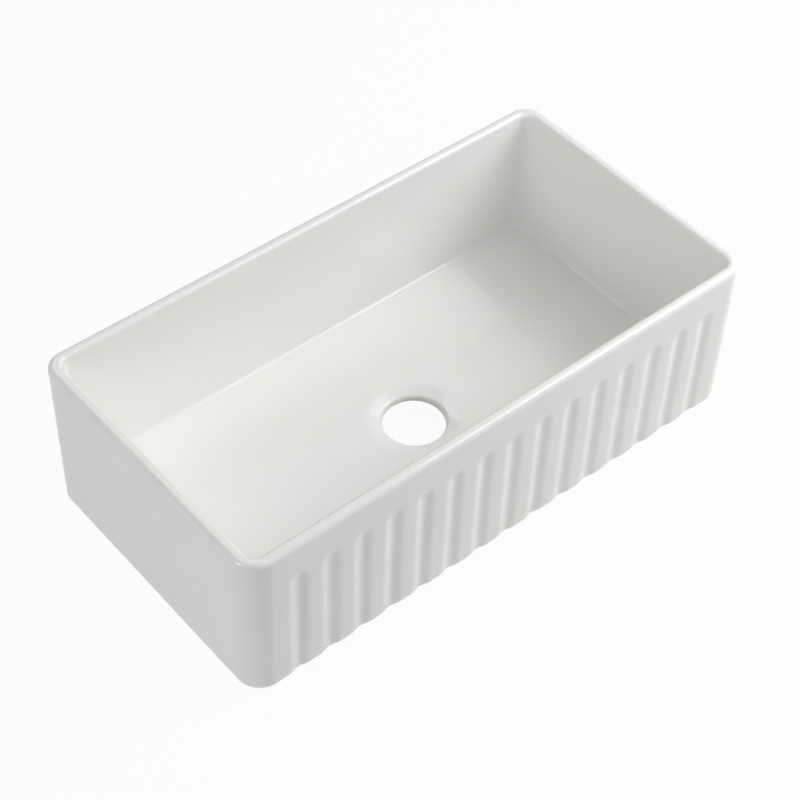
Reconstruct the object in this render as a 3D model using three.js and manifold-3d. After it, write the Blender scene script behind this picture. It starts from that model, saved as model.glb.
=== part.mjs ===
// Farmhouse sink with a fluted apron: one fireclay casting with a single bowl.
// Millimetres, +Z up. The origin is at the centre of the underside, the apron
// faces -Y and the width runs along X.
import * as THREE from 'three';
import { mergeVertices } from 'three/addons/utils/BufferGeometryUtils.js';
import Module from 'manifold-3d';

const wasm = await Module();
wasm.setup();

// Outside of the casting
const sinkWidth = 838; // 33 in
const sinkDepth = 438; // apron face to back face
const sinkHeight = 254; // 10 in
const frontCornerRadius = 36; // upright corners beside the apron
const backCornerRadius = 29;
const bottomEdgeRadius = 13;

// Walls and rim
const rimWall = 17; // thickness of the four walls at the rim
const rimInnerRadius = 7; // bowl side of the rim
const rimFlat = 1.5; // level crown between the two roundings
const wallDraft = 1.05; // degrees that each bowl wall leans in towards the floor

// Bowl
const bowlDepth = 210; // rim to the floor at the foot of the walls
const bowlCornerRadius = 16; // upright corners
const floorFillet = 8; // floor into the walls
const floorFall = 4; // from the walls down to the dish round the drain

// Drain, a little off the middle of the bowl as cast
const drainOffsetX = 19;
const drainOffsetY = -6.5;
const drainDiameter = 88.5; // 3 1/2 in outlet
const drainLipRadius = 8; // rounding of the hole's upper edge
const drainLowerChamfer = 1.5;
const dishDiameter = 136; // shallow cone that a waste flange beds in
const dishSlope = 17; // degrees
const dishBlend = 8; // width over which the floor eases into the cone

// Underside: a perimeter foot round a recessed base
const baseThickness = 15; // at the drain, floor to underside
const footWidth = 24;
const footInnerChamfer = 2;
const recessDraft = 3; // degrees
const recessFillet = 8;
const recessCornerRadius = 20;

// Flutes of the apron: hollow grooves that run out at the bottom edge
const flutePitch = 49.6;
const fluteWidth = 34;
const fluteDepth = 3;
const fluteTopBelowRim = 48; // rim to the rounded upper ends
const fluteEndLength = 18; // height over which each end fades out
const apronPlainMargin = 52; // least plain face beside the outermost grooves

// Fineness of the curves
const fluteSegments = 10;
const fluteEndRings = 5;
const outerCornerSegments = 8;
const bowlCornerSegments = 6;
const edgeSegments = 5;
const floorRings = 3;
const drainStepAngle = 10; // degrees between the bowl's columns round the drain
const overcut = 5; // how far a cutter runs past the face that it opens

const halfWidth = sinkWidth / 2;
const halfDepth = sinkDepth / 2;
const rimOuterRadius = rimWall - rimInnerRadius - rimFlat;
const floorWallZ = sinkHeight - bowlDepth;
const floorDrainZ = floorWallZ - floorFall;
const baseUnderZ = floorDrainZ - baseThickness;
const drain = new THREE.Vector2(drainOffsetX, drainOffsetY);

const radians = THREE.MathUtils.degToRad;

// Even steps from 0 to 1
function steps(count) {
  return Array.from({ length: count + 1 }, (_, i) => i / count);
}

// A turn off the upright as pairs: how far along and how far up a rounding has come
function roundOver(radius, turn = Math.PI / 2) {
  return steps(edgeSegments).map((t) => (
    { along: radius * (1 - Math.cos(t * turn)), up: radius * Math.sin(t * turn) }
  ));
}

// The four corner arcs of a rounded rectangle, anticlockwise from the front right
function cornerArcs(halfX, halfY, radii, segments) {
  const signs = [[1, -1], [1, 1], [-1, 1], [-1, -1]];
  return signs.map(([signX, signY], corner) => {
    const radius = signY < 0 ? radii.front : radii.back;
    const centre = new THREE.Vector2(signX * (halfX - radius), signY * (halfY - radius));
    return steps(segments).map((t) => {
      const angle = (corner - 1 + t) * (Math.PI / 2);
      return centre.clone().add(new THREE.Vector2(Math.cos(angle), Math.sin(angle)).multiplyScalar(radius));
    });
  });
}

// Closed solid through a stack of rings with equal numbers of points, lowest ring first
function loft(rings) {
  const count = rings[0].length;
  const positions = rings.flat().flatMap((point) => [point.x, point.y, point.z]);
  const indices = [];
  for (let level = 0; level < rings.length - 1; level += 1) {
    for (let i = 0; i < count; i += 1) {
      const a = level * count + i;
      const b = level * count + ((i + 1) % count);
      indices.push(a, b, b + count, a, b + count, a + count);
    }
  }
  const flat = (ring) => ring.map((point) => new THREE.Vector2(point.x, point.y));
  const top = (rings.length - 1) * count;
  for (const [a, b, c] of THREE.ShapeUtils.triangulateShape(flat(rings[0]), [])) indices.push(a, c, b);
  for (const [a, b, c] of THREE.ShapeUtils.triangulateShape(flat(rings.at(-1)), [])) {
    indices.push(top + a, top + b, top + c);
  }
  const geometry = new THREE.BufferGeometry();
  geometry.setAttribute('position', new THREE.Float32BufferAttribute(positions, 3));
  geometry.setIndex(indices);
  return geometry;
}

function atHeight(points, z) {
  return points.map((point) => new THREE.Vector3(point.x, point.y, z));
}

// ---- Outer body -----------------------------------------------------------

const flutedRun = sinkWidth - 2 * (apronPlainMargin + fluteWidth / 2);
const fluteCount = Math.max(1, 1 + Math.floor(flutedRun / flutePitch));
const fluteCentres = Array.from({ length: fluteCount }, (_, i) => (i - (fluteCount - 1) / 2) * flutePitch);
const fluteTopZ = sinkHeight - fluteTopBelowRim;
const fluteFullZ = fluteTopZ - fluteEndLength;

// Depth of the apron's hollows: a soft cosine across, faded into a rounded upper end
function hollowDepth(x, z) {
  const across = Math.min(...fluteCentres.map((centre) => Math.abs(x - centre))) / (fluteWidth / 2);
  const upwards = Math.max(0, z - fluteFullZ) / fluteEndLength;
  const reach = Math.min(1, Math.hypot(across, upwards));
  return (fluteDepth * (1 + Math.cos(Math.PI * reach))) / 2;
}

const apronColumns = fluteCentres.flatMap((centre) => (
  steps(fluteSegments).map((t) => centre + (t - 0.5) * fluteWidth)
));

// Outline of the body at one height, drawn in from the full size by an inset
function bodyRing(z, inset) {
  const radii = { front: frontCornerRadius - inset, back: backCornerRadius - inset };
  const corners = cornerArcs(halfWidth - inset, halfDepth - inset, radii, outerCornerSegments);
  const apron = apronColumns.map((x) => new THREE.Vector2(x, -halfDepth + inset + hollowDepth(x, z)));
  return atHeight([...apron, ...corners.flat()], z);
}

function bodyGeometry() {
  const bottom = roundOver(bottomEdgeRadius).map(({ along, up }) => (
    { z: bottomEdgeRadius - up, inset: along }
  )).reverse();
  const fluteEnds = steps(fluteEndRings).map((t) => ({ z: fluteFullZ + t * fluteEndLength, inset: 0 }));
  const rim = roundOver(rimOuterRadius).map(({ along, up }) => (
    { z: sinkHeight - rimOuterRadius + up, inset: along }
  ));
  return loft([...bottom, ...fluteEnds, ...rim].map(({ z, inset }) => bodyRing(z, inset)));
}

// ---- Bowl and drain -------------------------------------------------------

// Bowl walls stand this far inside the outer faces at a height
function bowlInset(z) {
  return rimWall + (sinkHeight - rimInnerRadius - z) * Math.tan(radians(wallDraft));
}

// Splits of a straight side at even angles seen from the drain, as shares of its length
function sideSplits(from, to) {
  const start = from.clone().sub(drain).angle();
  const sweep = (to.clone().sub(drain).angle() - start + 2 * Math.PI) % (2 * Math.PI);
  const count = Math.max(1, Math.round(sweep / radians(drainStepAngle)));
  const side = to.clone().sub(from);
  return steps(count).slice(1, -1).map((t) => {
    const ray = new THREE.Vector2(Math.cos(start + t * sweep), Math.sin(start + t * sweep));
    return from.clone().sub(drain).cross(ray) / -side.cross(ray);
  });
}

function bowlCorners(inset, radius) {
  const radii = { front: radius, back: radius };
  return cornerArcs(halfWidth - inset, halfDepth - inset, radii, bowlCornerSegments);
}

const footCorners = bowlCorners(bowlInset(floorWallZ + floorFillet), bowlCornerRadius);
const splits = footCorners.map((corner, i) => sideSplits(corner.at(-1), footCorners[(i + 1) % 4][0]));

// Outline of the bowl: four corner arcs joined by sides with fixed splits
function bowlOutline(inset, radius) {
  const corners = bowlCorners(inset, radius);
  return corners.flatMap((corner, i) => {
    const from = corner.at(-1);
    const to = corners[(i + 1) % 4][0];
    return [...corner, ...splits[i].map((share) => from.clone().lerp(to, share))];
  });
}

const footInset = bowlInset(floorWallZ + floorFillet);
const floorOutline = bowlOutline(footInset + floorFillet, bowlCornerRadius - floorFillet);
const drainDirections = floorOutline.map((point) => point.clone().sub(drain).normalize());

function drainRing(radius, z) {
  return atHeight(drainDirections.map((way) => drain.clone().addScaledVector(way, radius)), z);
}

const drainRadius = drainDiameter / 2;
const dishRadius = dishDiameter / 2;

// Drain from below the base, over its lip and up the dish to the floor
function drainRings() {
  const slope = radians(dishSlope);
  const coneTop = dishRadius - dishBlend;
  const lipOuter = drainRadius + drainLipRadius * (1 - Math.sin(slope));
  const blendRise = (Math.tan(slope) * dishBlend) / 2;
  const lipTopZ = floorDrainZ - blendRise - (coneTop - lipOuter) * Math.tan(slope);
  const lipFootZ = lipTopZ - drainLipRadius * Math.cos(slope);
  const lower = [
    drainRing(drainRadius + drainLowerChamfer + overcut, baseUnderZ - overcut),
    drainRing(drainRadius, baseUnderZ + drainLowerChamfer),
  ];
  const lip = roundOver(drainLipRadius, Math.PI / 2 - slope).map(({ along, up }) => (
    drainRing(drainRadius + along, lipFootZ + up)
  ));
  const blend = steps(edgeSegments).map((t) => (
    drainRing(coneTop + t * dishBlend, floorDrainZ - blendRise * (1 - t) ** 2)
  ));
  return [...lower, ...lip, ...blend];
}

// Floor from the dish out to the wall fillet, falling towards the drain
function floorRingsOut() {
  return steps(floorRings).slice(1).map((t) => floorOutline.map((edge, i) => {
    const inner = drain.clone().addScaledVector(drainDirections[i], dishRadius);
    const point = inner.lerp(edge, t);
    return new THREE.Vector3(point.x, point.y, floorDrainZ + floorFall * t * t);
  }));
}

// Fillet, leaning walls and the rounding over the rim
function wallRings() {
  const fillet = roundOver(floorFillet).map(({ along, up }) => (
    atHeight(bowlOutline(footInset + along, bowlCornerRadius - along), floorWallZ + floorFillet - up)
  )).reverse().slice(1);
  const rim = roundOver(rimInnerRadius).map(({ along, up }) => (
    atHeight(bowlOutline(rimWall - along, bowlCornerRadius + along), sinkHeight - rimInnerRadius + up)
  ));
  const above = atHeight(bowlOutline(rimWall - rimInnerRadius, bowlCornerRadius + rimInnerRadius),
    sinkHeight + overcut);
  return [...fillet, ...rim, above];
}

function bowlGeometry() {
  return loft([...drainRings(), ...floorRingsOut(), ...wallRings()]);
}

// ---- Underside ------------------------------------------------------------

function recessRing(z, inset, cornerLoss) {
  return atHeight(bowlCorners(inset, recessCornerRadius - cornerLoss).flat(), z);
}

function recessGeometry() {
  const filletZ = baseUnderZ - recessFillet;
  const roofInset = footWidth + filletZ * Math.tan(radians(recessDraft));
  const mouth = [
    recessRing(-overcut, footWidth - footInnerChamfer - overcut, -footInnerChamfer - overcut),
    recessRing(footInnerChamfer, footWidth, 0),
  ];
  const fillet = roundOver(recessFillet).map(({ along, up }) => (
    recessRing(filletZ + up, roofInset + along, along)
  ));
  return loft([...mouth, ...fillet]);
}

// ---- Casting --------------------------------------------------------------

function toSolid(geometry) {
  const merged = mergeVertices(geometry, 1e-4);
  return new wasm.Manifold(new wasm.Mesh({
    numProp: 3,
    vertProperties: new Float32Array(merged.attributes.position.array),
    triVerts: new Uint32Array(merged.index.array),
  }));
}

function toGeometry(solid) {
  const { vertProperties, triVerts } = solid.getMesh();
  const geometry = new THREE.BufferGeometry();
  geometry.setAttribute('position', new THREE.BufferAttribute(vertProperties, 3));
  geometry.setIndex(new THREE.BufferAttribute(triVerts, 1));
  geometry.computeVertexNormals();
  return geometry;
}

const glazedFireclay = new THREE.MeshStandardMaterial({
  name: 'glazed_fireclay',
  color: '#f1f0ec',
  roughness: 0.12,
  metalness: 0,
});

const casting = toSolid(bodyGeometry())
  .subtract(toSolid(bowlGeometry()))
  .subtract(toSolid(recessGeometry()));

const sinkBody = new THREE.Mesh(toGeometry(casting), glazedFireclay);
sinkBody.name = 'sink_body';

const sink = new THREE.Group();
sink.name = 'farmhouse_sink';
sink.add(sinkBody);

export default sink;
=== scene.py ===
import math

import bpy
import numpy as np
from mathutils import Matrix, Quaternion, Vector


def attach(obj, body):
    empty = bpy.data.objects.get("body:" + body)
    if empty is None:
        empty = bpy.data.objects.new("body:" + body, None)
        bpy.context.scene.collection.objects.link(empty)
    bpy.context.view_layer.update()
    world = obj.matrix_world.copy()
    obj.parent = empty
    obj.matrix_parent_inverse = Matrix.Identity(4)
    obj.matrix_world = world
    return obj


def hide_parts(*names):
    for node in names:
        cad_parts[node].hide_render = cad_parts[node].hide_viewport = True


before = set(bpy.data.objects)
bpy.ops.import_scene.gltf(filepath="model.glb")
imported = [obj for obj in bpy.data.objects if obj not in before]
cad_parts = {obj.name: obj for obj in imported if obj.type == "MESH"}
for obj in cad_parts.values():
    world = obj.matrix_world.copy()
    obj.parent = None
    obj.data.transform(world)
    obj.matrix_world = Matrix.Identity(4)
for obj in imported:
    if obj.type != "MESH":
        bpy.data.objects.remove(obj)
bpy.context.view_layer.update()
scene = bpy.context.scene
mm = 0.001
print("frame loaded:", sorted(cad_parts))


def linearColour(hexText):
    channels = [int(hexText[i:i + 2], 16) / 255 for i in (1, 3, 5)]
    return [c / 12.92 if c <= 0.04045 else ((c + 0.055) / 1.055) ** 2.4 for c in channels] + [1.0]


def addNode(tree, kind, inputs=None, **settings):
    node = tree.nodes.new(kind)
    for name, value in settings.items():
        setattr(node, name, value)
    for key, value in (inputs or {}).items():
        if isinstance(value, bpy.types.NodeSocket):
            tree.links.new(value, node.inputs[key])
        else:
            node.inputs[key].default_value = value
    return node


# ---- the camera stands in front of the left corner and looks down into the bowl

cameraView = {  # millimetres and degrees
    "azimuth": -41.704,      # round the sink from straight in front
    "elevation": 47.232,     # above the floor
    "roll": 2.222,
    "target": (-29.11, -29.30, 127.0),
    "distance": 2551.9,
    "lens": 86.253,
    "sensor": 36,
}


def makeCamera(view):
    azimuth, elevation = math.radians(view["azimuth"]), math.radians(view["elevation"])
    back = Vector((
        math.sin(azimuth) * math.cos(elevation),
        -math.cos(azimuth) * math.cos(elevation),
        math.sin(elevation),
    ))
    data = bpy.data.cameras.new("productCamera")
    data.lens = view["lens"]
    data.sensor_width = view["sensor"]
    camera = bpy.data.objects.new("productCamera", data)
    camera.rotation_mode = "QUATERNION"
    camera.location = (Vector(view["target"]) + back * view["distance"]) * mm
    roll = Quaternion((0, 0, 1), math.radians(view["roll"]))
    camera.rotation_quaternion = (-back).to_track_quat("-Z", "Y") @ roll
    scene.collection.objects.link(camera)
    scene.camera = camera


makeCamera(cameraView)
print("camera placed")


# ---- the casting: one closed skin through the drain, over the rim and under the base

casting = {  # millimetres and degrees
    "width": 838,
    "depth": 438,
    "height": 254,
    "frontCorner": 36,
    "backCorner": 29,
    "bottomEdge": 13,
    "rimWall": 17,
    "rimInner": 7,
    "rimFlat": 1.5,
    "wallDraft": 1.05,
    "bowlDepth": 210,
    "bowlCorner": 16,
    "floorFillet": 8,
    "floorFall": 4,
    "drainX": 19,
    "drainY": -6.5,
    "drainWidth": 88.5,
    "drainLip": 8,
    "drainUnderEdge": 1.5,
    "dishWidth": 136,      # shallow cone round the hole
    "dishSlope": 17,
    "dishBlend": 8,        # where the floor eases into the cone
    "baseThickness": 15,
    "footWidth": 24,
    "footEdge": 2,
    "recessDraft": 3,
    "recessFillet": 8,
    "recessCorner": 20,
    "footWiped": 4.2,      # bare clay up to here above the foot
    "footWipedFade": 3.4,  # and over this height it gives way to glaze
    "drainWiped": 1.5,     # the same at the hole's lower edge
    "drainWipedFade": 1.2,
}

flutes = {  # millimetres, the hollows pressed into the apron
    "count": 15,
    "pitch": 49.6,
    "width": 34,
    "depth": 3,
    "top": 206,
    "endLength": 18,
}

fineness = {  # how many points and rings each stretch gets
    "fluteColumns": 14,
    "landColumns": 2,
    "endColumns": 3,         # from the outermost flute to the corner
    "sideColumns": 26,
    "backColumns": 56,
    "cornerColumns": 18,
    "edgeRings": 12,
    "fluteEndRings": 16,
    "fluteRings": 9,
    "footRings": 6,
    "footEdgeRings": 6,
    "recessRings": 4,
    "recessFilletRings": 9,
    "underEdgeRings": 5,
    "lipRings": 14,
    "dishRings": 8,
    "floorRings": 14,
    "wallRings": 14,
}

ringGaps = {  # millimetres, where rings stand close to a rounding or to a flute's end
    "belowRim": (1.2, 8),
    "aboveFlutes": (20, 8),
    "pastFluteEnd": 2,
    "belowFluteEnd": 12,
    "aboveBottomEdge": (8, 1.2),
}

ringShares = {  # places on the level faces, from 0 at one edge to 1 at the other
    "base": (0.02, 0.15, 0.35, 0.6, 0.85, 0.97),
    "floorCrowding": 1.25,   # above 1, rings crowd towards the drain
    "floorLast": 0.994,
    "fluteFade": 1.3,        # how fast the hollows die out across the foot
}


def evenSteps(count):
    return np.linspace(0, 1, count + 1)


def frontShares():
    # places along the apron from -1 to 1, close together in the hollows
    half = casting["width"] / 2 - casting["frontCorner"]
    centres = (np.arange(flutes["count"]) - (flutes["count"] - 1) / 2) * flutes["pitch"]
    across = (evenSteps(fineness["fluteColumns"]) - 0.5) * flutes["width"]
    land = flutes["pitch"] - flutes["width"]
    between = evenSteps(fineness["landColumns"] + 1)[1:-1] * land + flutes["width"] / 2
    places = [centre + step for centre in centres for step in across]
    places += [centre + step for centre in centres[:-1] for step in between]
    outermost = centres[-1] + flutes["width"] / 2
    ends = outermost + evenSteps(fineness["endColumns"])[1:] * (half - outermost)
    return np.sort(np.concatenate([places, ends, -ends])) / half


shares = {
    "front": frontShares(),
    "side": evenSteps(fineness["sideColumns"]) * 2 - 1,
    "back": evenSteps(fineness["backColumns"]) * 2 - 1,
}


def roundedOutline(inset, frontRadius, backRadius):
    # a rounded rectangle, anticlockwise from the left end of the front
    halfX = casting["width"] / 2 - inset
    halfY = casting["depth"] / 2 - inset
    turn = evenSteps(fineness["cornerColumns"])[1:-1] * math.pi / 2

    def arc(centreX, centreY, radius, start):
        return np.stack([
            centreX + radius * np.cos(start + turn),
            centreY + radius * np.sin(start + turn),
        ], 1)

    def side(start, end, share):
        mix = ((share + 1) / 2)[:, None]
        return np.array(start) * (1 - mix) + np.array(end) * mix

    frontX, frontY = halfX - frontRadius, halfY - frontRadius
    backX, backY = halfX - backRadius, halfY - backRadius
    return np.concatenate([
        side((-frontX, -halfY), (frontX, -halfY), shares["front"]),
        arc(frontX, -frontY, frontRadius, -math.pi / 2),
        side((halfX, -frontY), (halfX, backY), shares["side"]),
        arc(backX, backY, backRadius, 0),
        side((backX, halfY), (-backX, halfY), shares["back"]),
        arc(-backX, backY, backRadius, math.pi / 2),
        side((-halfX, backY), (-halfX, -frontY), shares["side"]),
        arc(-frontX, -frontY, frontRadius, math.pi),
    ])


def roundOver(radius, count=None, turn=math.pi / 2):
    # a turn off the upright as pairs: how far along and how far up the rounding has come
    angles = evenSteps(count or fineness["edgeRings"]) * turn
    return [(radius * (1 - math.cos(a)), radius * math.sin(a)) for a in angles]


rings = []  # each ring: its points, share of the flutes' depth, share of bare clay


def addRing(points, height, flutedShare=0.0, bareShare=0.0):
    heights = np.broadcast_to(height, len(points))
    rings.append((np.column_stack([points, heights]), flutedShare, bareShare))


def bodyOutline(inset):
    return roundedOutline(inset, casting["frontCorner"] - inset, casting["backCorner"] - inset)


def hollowOutline(inset, radius):
    # the bowl and the recess underneath have four corners alike
    return roundedOutline(inset, radius, radius)


def bowlInset(height):
    top = casting["height"] - casting["rimInner"]
    return casting["rimWall"] + (top - height) * math.tan(math.radians(casting["wallDraft"]))


floorEdge = casting["height"] - casting["bowlDepth"]
floorLow = floorEdge - casting["floorFall"]
baseUnder = floorLow - casting["baseThickness"]
filletTop = floorEdge + casting["floorFillet"]
filletInset = bowlInset(filletTop)
floorCorner = casting["bowlCorner"] - casting["floorFillet"]
floorOutline = hollowOutline(filletInset + casting["floorFillet"], floorCorner)
drainCentre = np.array([casting["drainX"], casting["drainY"]])
drainWays = floorOutline - drainCentre
drainWays = drainWays / np.linalg.norm(drainWays, axis=1)[:, None]


def drainCircle(radius):
    return drainCentre + drainWays * radius


def wipedShare(height, reach, fade):
    # share of bare clay at a height over the wiped face
    return np.clip((reach - height) / fade, 0, 1)


def makeOutside():
    # over the rim, down the outer faces and round the bottom edge to the foot
    radius = casting["rimWall"] - casting["rimInner"] - casting["rimFlat"]
    rimFoot = casting["height"] - radius
    for along, up in reversed(roundOver(radius)):
        addRing(bodyOutline(along), rimFoot + up)
    edge = casting["bottomEdge"]
    past = ringGaps["pastFluteEnd"]
    fluteFoot = flutes["top"] - flutes["endLength"]
    farAbove, justAbove = ringGaps["aboveBottomEdge"]
    heights = np.concatenate([
        rimFoot - np.array(ringGaps["belowRim"]),
        flutes["top"] + np.array(ringGaps["aboveFlutes"]),
        np.linspace(flutes["top"] + past, fluteFoot - past, fineness["fluteEndRings"]),
        np.linspace(fluteFoot - ringGaps["belowFluteEnd"], edge + farAbove, fineness["fluteRings"]),
        [edge + justAbove],
    ])
    for height in heights:
        addRing(bodyOutline(0), height, 1)
    for along, up in roundOver(edge):
        bare = wipedShare(edge - up, casting["footWiped"], casting["footWipedFade"])
        addRing(bodyOutline(along), edge - up, 1, bare)


def makeUnderside():
    # level foot, its inner edge, the recess walls and the base round the drain
    corner = casting["recessCorner"]
    footWidth, footEdge = casting["footWidth"], casting["footEdge"]
    outside = bodyOutline(casting["bottomEdge"])
    inside = hollowOutline(footWidth - footEdge, corner + footEdge)
    for t in evenSteps(fineness["footRings"])[1:]:
        flutedShare = max(0, 1 - ringShares["fluteFade"] * t)
        addRing(outside * (1 - t) + inside * t, 0, flutedShare, 1)
    for along, up in reversed(roundOver(footEdge, fineness["footEdgeRings"])[:-1]):
        addRing(hollowOutline(footWidth - along, corner + along), footEdge - up, 0, 1)
    filletStart = baseUnder - casting["recessFillet"]
    lean = math.tan(math.radians(casting["recessDraft"]))
    for height in np.linspace(footEdge, filletStart, fineness["recessRings"] + 1)[1:]:
        addRing(hollowOutline(footWidth + (height - footEdge) * lean, corner), height, 0, 1)
    roof = footWidth + (filletStart - footEdge) * lean
    for along, up in roundOver(casting["recessFillet"], fineness["recessFilletRings"])[1:]:
        addRing(hollowOutline(roof + along, corner - along), filletStart + up, 0, 1)
    outer = rings[-1][0][:, :2]
    inner = drainCircle(casting["drainWidth"] / 2 + casting["drainUnderEdge"])
    for t in ringShares["base"]:
        addRing(outer * (1 - t) + inner * t, baseUnder, 0, 1)


def makeDrain():
    # up through the hole, over its lip and up the shallow cone to the floor
    radius = casting["drainWidth"] / 2
    underEdge = casting["drainUnderEdge"]
    for along, up in reversed(roundOver(underEdge, fineness["underEdgeRings"])):
        bare = wipedShare(underEdge - up, casting["drainWiped"], casting["drainWipedFade"])
        addRing(drainCircle(radius + along), baseUnder + underEdge - up, 0, bare)
    slope = math.radians(casting["dishSlope"])
    lip = casting["drainLip"]
    lipOuter = radius + lip * (1 - math.sin(slope))
    coneTop = casting["dishWidth"] / 2 - casting["dishBlend"]
    blendRise = math.tan(slope) * casting["dishBlend"] / 2
    lipTop = floorLow - blendRise - (coneTop - lipOuter) * math.tan(slope)
    lipFoot = lipTop - lip * math.cos(slope)
    addRing(drainCircle(radius), (baseUnder + underEdge + lipFoot) / 2)
    for along, up in roundOver(lip, fineness["lipRings"], math.pi / 2 - slope):
        addRing(drainCircle(radius + along), lipFoot + up)
    addRing(drainCircle((lipOuter + coneTop) / 2), (lipTop + floorLow - blendRise) / 2)
    for t in evenSteps(fineness["dishRings"]):
        radius = coneTop + t * casting["dishBlend"]
        addRing(drainCircle(radius), floorLow - blendRise * (1 - t) ** 2)


def makeBowl():
    # floor falling to the drain, fillet, leaning walls and the bowl side of the rim
    start = drainCircle(casting["dishWidth"] / 2)
    crowded = evenSteps(fineness["floorRings"])[1:-1] ** ringShares["floorCrowding"]
    for t in (*crowded, ringShares["floorLast"]):
        addRing(start * (1 - t) + floorOutline * t, floorLow + casting["floorFall"] * t * t)
    corner = casting["bowlCorner"]
    for along, up in reversed(roundOver(casting["floorFillet"])):
        addRing(hollowOutline(filletInset + along, corner - along), filletTop - up)
    wallTop = casting["height"] - casting["rimInner"]
    eased = 0.5 - 0.5 * np.cos(np.pi * evenSteps(fineness["wallRings"])[1:-1])
    for height in filletTop + eased * (wallTop - filletTop):
        addRing(hollowOutline(bowlInset(height), corner), height)
    for along, up in roundOver(casting["rimInner"]):
        addRing(hollowOutline(casting["rimWall"] - along, corner + along), wallTop + up)


def makeSkin():
    makeDrain()
    makeBowl()
    makeOutside()
    makeUnderside()
    count = len(rings[0][0])
    points = np.concatenate([ring for ring, fluted, bare in rings]) * mm
    total = len(rings)
    faces = []
    for level in range(total):
        low, high = level * count, ((level + 1) % total) * count
        for i in range(count):
            j = (i + 1) % count
            faces.append((low + i, low + j, high + j, high + i))
    mesh = bpy.data.meshes.new("castingSkin")
    mesh.from_pydata(points.tolist(), [], faces)
    flutedFace = mesh.attributes.new("flutedFace", "FLOAT", "POINT")
    bareClay = mesh.attributes.new("bareClay", "FLOAT", "POINT")
    frontCount = len(shares["front"])
    flutedValues = np.zeros((total, count), np.float32)
    flutedValues[:, :frontCount] = np.array([fluted for ring, fluted, bare in rings])[:, None]
    bareValues = np.repeat(np.array([bare for ring, fluted, bare in rings], np.float32), count)
    flutedFace.data.foreach_set("value", flutedValues.ravel())
    bareClay.data.foreach_set("value", bareValues)
    mesh.shade_smooth()
    skin = bpy.data.objects.new("castingSkin", mesh)
    scene.collection.objects.link(skin)
    print("casting skin:", total, "rings of", count, "points")
    return skin


# ---- white glaze over fireclay: a glassy opaque coat, poured on and fired, so reflections
# ---- are clear but waver a little; where the base was wiped before firing, buff clay shows

glaze = {
    "white": "#f3f2f1",
    "warmWhite": "#f2f1ef",
    "bareClay": "#d3c7b4",
    "poolSize": 130,       # mm, drifts in the glaze's thickness
    "poolSpread": (0.35, 0.65),
    "waveSize": 55,        # mm, waver of the reflections
    "waveHeight": 0.10,
    "peelSize": 3.2,       # mm, orange peel
    "peelHeight": 0.006,
    "gritSize": 0.9,       # mm, grain of the bare clay
    "gritHeight": 0.08,
    "gritDark": 0.86,
    "noiseSpread": (0.3, 0.7),
    "raggedSize": 9,       # mm, how the edge of the wiped clay wanders
    "raggedShare": 0.5,
    "edgeSpread": (0.70, 0.80),
    "roughness": 0.09,
    "roughnessWaver": 0.02,
    "clayRoughness": 0.82,
    "ior": 1.52,
}


def makeGlaze():
    material = bpy.data.materials.new("whiteGlazedFireclay")
    material.use_nodes = True
    tree = material.node_tree
    tree.nodes.clear()
    place = addNode(tree, "ShaderNodeTexCoord").outputs["Object"]

    def noise(size, detail):
        # scale is in repeats per metre, so a size in millimetres turns over here
        return addNode(tree, "ShaderNodeTexNoise", {
            "Vector": place, "Scale": 1000 / size, "Detail": detail, "Roughness": 0.5,
        }).outputs["Fac"]

    def spread(value, fromRange, toRange=(0.0, 1.0)):
        return addNode(tree, "ShaderNodeMapRange", {
            "Value": value, "From Min": fromRange[0], "From Max": fromRange[1],
            "To Min": toRange[0], "To Max": toRange[1],
        }).outputs["Result"]

    def scaled(value, factor, added=0.0):
        return addNode(tree, "ShaderNodeMath", {0: value, 1: factor, 2: added},
                       operation="MULTIPLY_ADD").outputs[0]

    wipedEdge = addNode(tree, "ShaderNodeAttribute", attribute_name="bareClay").outputs["Fac"]
    raggedEdge = scaled(noise(glaze["raggedSize"], 2), glaze["raggedShare"], wipedEdge)
    bare = spread(raggedEdge, glaze["edgeSpread"])
    pools = spread(noise(glaze["poolSize"], 2), glaze["poolSpread"])
    glazeColour = addNode(tree, "ShaderNodeMix", {
        0: pools, 6: linearColour(glaze["white"]), 7: linearColour(glaze["warmWhite"]),
    }, data_type="RGBA").outputs[2]
    grit = noise(glaze["gritSize"], 3)
    clayTone = spread(grit, glaze["noiseSpread"], (glaze["gritDark"], 1.0))
    clayColour = addNode(tree, "ShaderNodeMix", {
        0: 1.0, 6: linearColour(glaze["bareClay"]), 7: clayTone,
    }, data_type="RGBA", blend_type="MULTIPLY").outputs[2]
    colour = addNode(tree, "ShaderNodeMix", {
        0: bare, 6: glazeColour, 7: clayColour,
    }, data_type="RGBA").outputs[2]

    middle, waver = glaze["roughness"], glaze["roughnessWaver"]
    glazeRoughness = spread(
        noise(glaze["waveSize"], 2), glaze["noiseSpread"], (middle - waver, middle + waver))
    roughness = addNode(tree, "ShaderNodeMix", {
        0: bare, 2: glazeRoughness, 3: glaze["clayRoughness"],
    }, data_type="FLOAT").outputs[0]

    waves = scaled(noise(glaze["waveSize"], 1), glaze["waveHeight"])
    peel = scaled(noise(glaze["peelSize"], 1), glaze["peelHeight"], waves)
    gritRelief = scaled(grit, glaze["gritHeight"])
    relief = addNode(tree, "ShaderNodeMix", {
        0: bare, 2: peel, 3: gritRelief,
    }, data_type="FLOAT").outputs[0]
    bump = addNode(tree, "ShaderNodeBump", {"Height": relief, "Strength": 1.0, "Distance": mm})

    shader = addNode(tree, "ShaderNodeBsdfPrincipled", {
        "Base Color": colour, "Roughness": roughness, "IOR": glaze["ior"],
        "Normal": bump.outputs["Normal"],
    })
    addNode(tree, "ShaderNodeOutputMaterial", {"Surface": shader.outputs["BSDF"]})
    return material


# ---- flutes: one rule presses every hollow into the apron's columns

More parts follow.
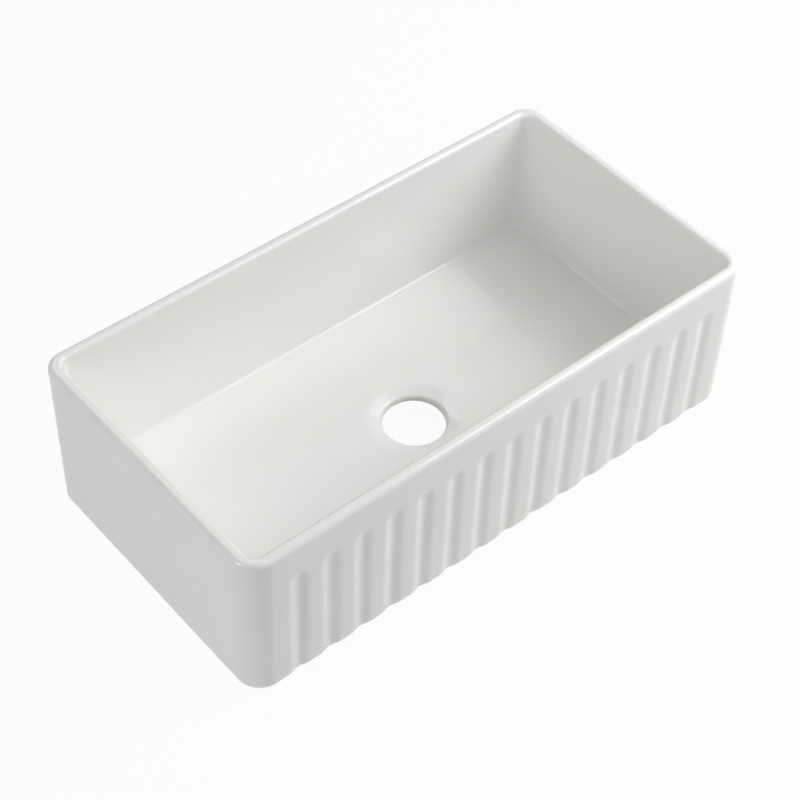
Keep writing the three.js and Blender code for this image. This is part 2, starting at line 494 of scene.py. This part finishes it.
def makeFluteTree(material):
    tree = bpy.data.node_groups.new("pressedFlutes", "GeometryNodeTree")
    tree.interface.new_socket("Geometry", in_out="INPUT", socket_type="NodeSocketGeometry")
    tree.interface.new_socket("Geometry", in_out="OUTPUT", socket_type="NodeSocketGeometry")
    identifiers = {}
    for name in ("Count", "Pitch", "Width", "Depth", "Top", "End length"):
        socket = tree.interface.new_socket(name, in_out="INPUT", socket_type="NodeSocketFloat")
        identifiers[name] = socket.identifier
    given = addNode(tree, "NodeGroupInput").outputs

    def calc(operation, *values):
        inputs = dict(enumerate(values))
        return addNode(tree, "ShaderNodeMath", inputs, operation=operation).outputs[0]

    place = addNode(tree, "ShaderNodeSeparateXYZ", {
        0: addNode(tree, "GeometryNodeInputPosition").outputs[0],
    }).outputs
    # the nearest hollow's centre line
    last = calc("SUBTRACT", given["Count"], 1)
    middle = calc("MULTIPLY", last, 0.5)
    nearest = calc("ROUND", calc("ADD", calc("DIVIDE", place["X"], given["Pitch"]), middle))
    inRow = calc("MINIMUM", calc("MAXIMUM", nearest, 0), last)
    centre = calc("MULTIPLY", calc("SUBTRACT", inRow, middle), given["Pitch"])
    # how far from it the point is, across and up, from 0 at the middle to 1 at the edge
    halfWidth = calc("MULTIPLY", given["Width"], 0.5)
    across = calc("DIVIDE", calc("SUBTRACT", place["X"], centre), halfWidth)
    fullDepthTop = calc("SUBTRACT", given["Top"], given["End length"])
    aboveIt = calc("MAXIMUM", calc("SUBTRACT", place["Z"], fullDepthTop), 0)
    upwards = calc("DIVIDE", aboveIt, given["End length"])
    reach = addNode(tree, "ShaderNodeVectorMath", {
        0: addNode(tree, "ShaderNodeCombineXYZ", {0: across, 1: upwards}).outputs[0],
    }, operation="LENGTH").outputs["Value"]
    swell = calc("COSINE", calc("MULTIPLY", calc("MINIMUM", reach, 1), math.pi))
    hollow = calc("MULTIPLY", calc("ADD", swell, 1), calc("MULTIPLY", given["Depth"], 0.5))
    share = addNode(tree, "GeometryNodeInputNamedAttribute", {"Name": "flutedFace"},
                    data_type="FLOAT")
    inwards = calc("MULTIPLY", hollow, share.outputs["Attribute"])
    pressed = addNode(tree, "GeometryNodeSetPosition", {
        "Geometry": given["Geometry"],
        "Offset": addNode(tree, "ShaderNodeCombineXYZ", {1: inwards}).outputs[0],
    })
    single = addNode(tree, "GeometryNodeRealizeInstances", {"Geometry": pressed.outputs[0]})
    glazed = addNode(tree, "GeometryNodeSetMaterial", {
        "Geometry": single.outputs[0], "Material": material,
    })
    addNode(tree, "NodeGroupOutput", {"Geometry": glazed.outputs[0]})
    return tree, identifiers


def pressFlutes(skin, material):
    tree, identifiers = makeFluteTree(material)
    modifier = skin.modifiers.new("flutes", "NODES")
    modifier.node_group = tree
    for name, value in {
        "Count": float(flutes["count"]),
        "Pitch": flutes["pitch"] * mm,
        "Width": flutes["width"] * mm,
        "Depth": flutes["depth"] * mm,
        "Top": flutes["top"] * mm,
        "End length": flutes["endLength"] * mm,
    }.items():
        modifier[identifiers[name]] = value
    skin.update_tag()
    graph = bpy.context.evaluated_depsgraph_get()
    mesh = bpy.data.meshes.new_from_object(skin.evaluated_get(graph))
    skin.modifiers.clear()
    sink = bpy.data.objects.new("fireclaySink", mesh)
    scene.collection.objects.link(sink)
    bpy.data.objects.remove(skin)
    print("flutes pressed:", len(mesh.polygons), "faces")
    return sink


sink = pressFlutes(makeSkin(), makeGlaze())
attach(sink, "root")
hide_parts("sink_body")


# ---- studio: a matt paper floor, soft lamps, and white behind all that the camera sees

studio = {
    "floorSize": 9.0,          # metres
    "floorWhite": "#dadad9",
    "floorLift": 0.95,         # share of white in the seen floor; the rest shows the shadow
    "surround": 0.06,          # strength of the light from all round
    "aim": (0, 0, 0.12),
}

lamps = {  # place and size in metres, power in watts
    "key": {
        "place": (1.05, -0.80, 1.45), "aim": (0.80, 0.0, 0.2), "size": (1.1, 0.5), "power": 7.9,
    },
    "overRight": {"place": (1.60, 0.0, 1.80), "size": (1.2, 1.2), "power": 6.7},
    "frontRight": {"place": (3.33, -1.77, 2.57), "size": (2.6, 2.6), "power": 89},
    "frontLeft": {"place": (-0.53, -3.74, 2.57), "size": (2.6, 2.6), "power": 29},
    "left": {"place": (-4.43, 0.0, 0.90), "size": (1.6, 1.6), "power": 52},
    "overLeft": {"place": (-0.70, 0.0, 1.52), "size": (0.8, 0.8), "power": 3.6},
    "back": {"place": (0.0, 2.89, 3.57), "size": (2.0, 2.0), "power": 22},
}


def seenDirectly(tree):
    # 1 for the camera and for what mirrors and glass show, 0 for light that lands on the sink
    path = addNode(tree, "ShaderNodeLightPath").outputs
    sharp = addNode(tree, "ShaderNodeMath", {
        0: path["Is Glossy Ray"], 1: path["Is Transmission Ray"],
    }, operation="MAXIMUM").outputs[0]
    return addNode(tree, "ShaderNodeMath", {0: path["Is Camera Ray"], 1: sharp},
                   operation="MAXIMUM").outputs[0]


def makeFloor():
    material = bpy.data.materials.new("mattWhitePaper")
    material.use_nodes = True
    tree = material.node_tree
    tree.nodes.clear()
    lift = addNode(tree, "ShaderNodeMath", {0: seenDirectly(tree), 1: studio["floorLift"]},
                   operation="MULTIPLY")
    paper = addNode(tree, "ShaderNodeBsdfDiffuse", {"Color": linearColour(studio["floorWhite"])})
    white = addNode(tree, "ShaderNodeEmission", {"Strength": 1.0})
    both = addNode(tree, "ShaderNodeMixShader", {
        0: lift.outputs[0], 1: paper.outputs[0], 2: white.outputs[0],
    })
    addNode(tree, "ShaderNodeOutputMaterial", {"Surface": both.outputs[0]})
    half = studio["floorSize"] / 2
    mesh = bpy.data.meshes.new("studioFloor")
    corners = [(-half, -half, 0), (half, -half, 0), (half, half, 0), (-half, half, 0)]
    mesh.from_pydata(corners, [], [(0, 1, 2, 3)])
    mesh.materials.append(material)
    floor = bpy.data.objects.new("studioFloor", mesh)
    scene.collection.objects.link(floor)


def makeSurround():
    world = bpy.data.worlds.new("whiteSurround")
    scene.world = world
    world.use_nodes = True
    tree = world.node_tree
    tree.nodes.clear()

    def whiteLight(strength):
        return addNode(tree, "ShaderNodeBackground", {"Color": (1, 1, 1, 1), "Strength": strength})

    soft, white = whiteLight(studio["surround"]), whiteLight(1.0)
    both = addNode(tree, "ShaderNodeMixShader", {
        0: seenDirectly(tree), 1: soft.outputs[0], 2: white.outputs[0],
    })
    addNode(tree, "ShaderNodeOutputWorld", {"Surface": both.outputs[0]})


def hangLamp(name, lamp):
    data = bpy.data.lights.new(name, "AREA")
    data.shape = "RECTANGLE"
    data.size, data.size_y = lamp["size"]
    data.energy = lamp["power"]
    light = bpy.data.objects.new(name, data)
    light.location = lamp["place"]
    aim = Vector(lamp.get("aim", studio["aim"])) - Vector(lamp["place"])
    light.rotation_mode = "QUATERNION"
    light.rotation_quaternion = aim.to_track_quat("-Z", "Y")
    scene.collection.objects.link(light)


makeFloor()
makeSurround()
for lampName, lampValues in lamps.items():
    hangLamp(lampName, lampValues)
scene.view_settings.view_transform = "Standard"
print("studio lit:", len(lamps), "lamps")
